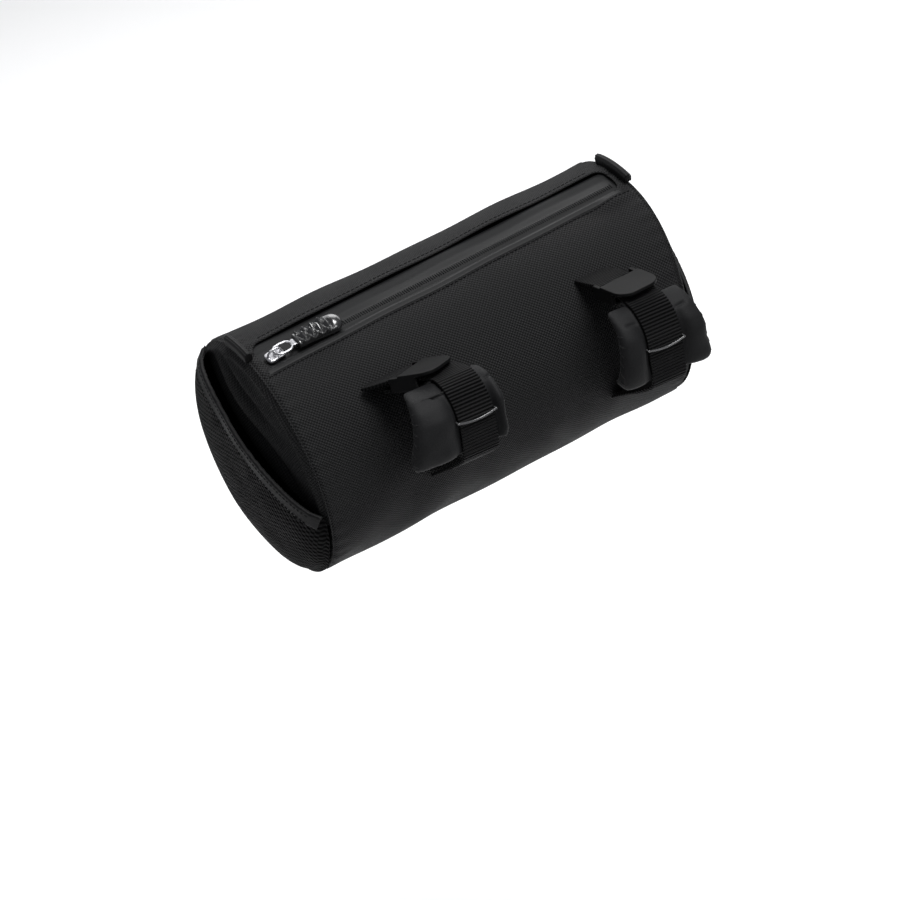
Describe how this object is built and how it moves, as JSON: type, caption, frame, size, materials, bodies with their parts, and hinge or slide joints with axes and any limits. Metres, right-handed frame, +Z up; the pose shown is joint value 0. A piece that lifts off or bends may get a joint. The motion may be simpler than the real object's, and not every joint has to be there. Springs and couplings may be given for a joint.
{
  "type": "bicycle handlebar bag",
  "caption": "Roll-shaped soft bag with a top zip, mesh end pockets and webbing straps over foam pads, hung behind a round handlebar.",
  "frame": {"origin": "on the handlebar's axis, midway between the two straps", "axes": "+X along the handlebar to the rider's right, +Y forwards, +Z up"},
  "size_m": [0.2581, 0.175, 0.1508],
  "materials": {
    "fabric": "woven",
    "mesh": "knitted net",
    "elastic": "ribbed",
    "tape": "smooth",
    "webbing": "ribbed",
    "foam": "matt",
    "plastic": "satin",
    "gloss": "glossy",
    "nickel": "satin nickel",
    "rubber": "glossy"
  },
  "bodies": {
    "bag": {"body_panel": "fabric", "zip_tape": "tape", "slider_body": "nickel", "end_panel_left": "fabric", "end_panel_right": "fabric", "mesh_pocket_left": "mesh", "mesh_pocket_right": "mesh", "pocket_binding_left": "elastic", "pocket_binding_right": "elastic", "end_tab_left": "webbing", "end_tab_right": "webbing", "foam_pad_left": "foam", "foam_pad_right": "foam", "keeper_left": "gloss", "keeper_right": "gloss", "anchor_left": "webbing", "anchor_right": "webbing", "strap_left": "webbing", "strap_right": "webbing", "buckle_left": "plastic", "buckle_right": "plastic"},
    "zip_pull": {"pull_link": "nickel", "pull_grip": "rubber"}
  },
  "joints": [
    {"name": "zip_pull_swing", "type": "hinge", "parent": "bag", "child": "zip_pull", "pos_m": [-0.11488, 0.07155, 0.02479], "axis": [0.0416, -0.9691, -0.2433], "range_deg": [0, 140]}
  ]
}
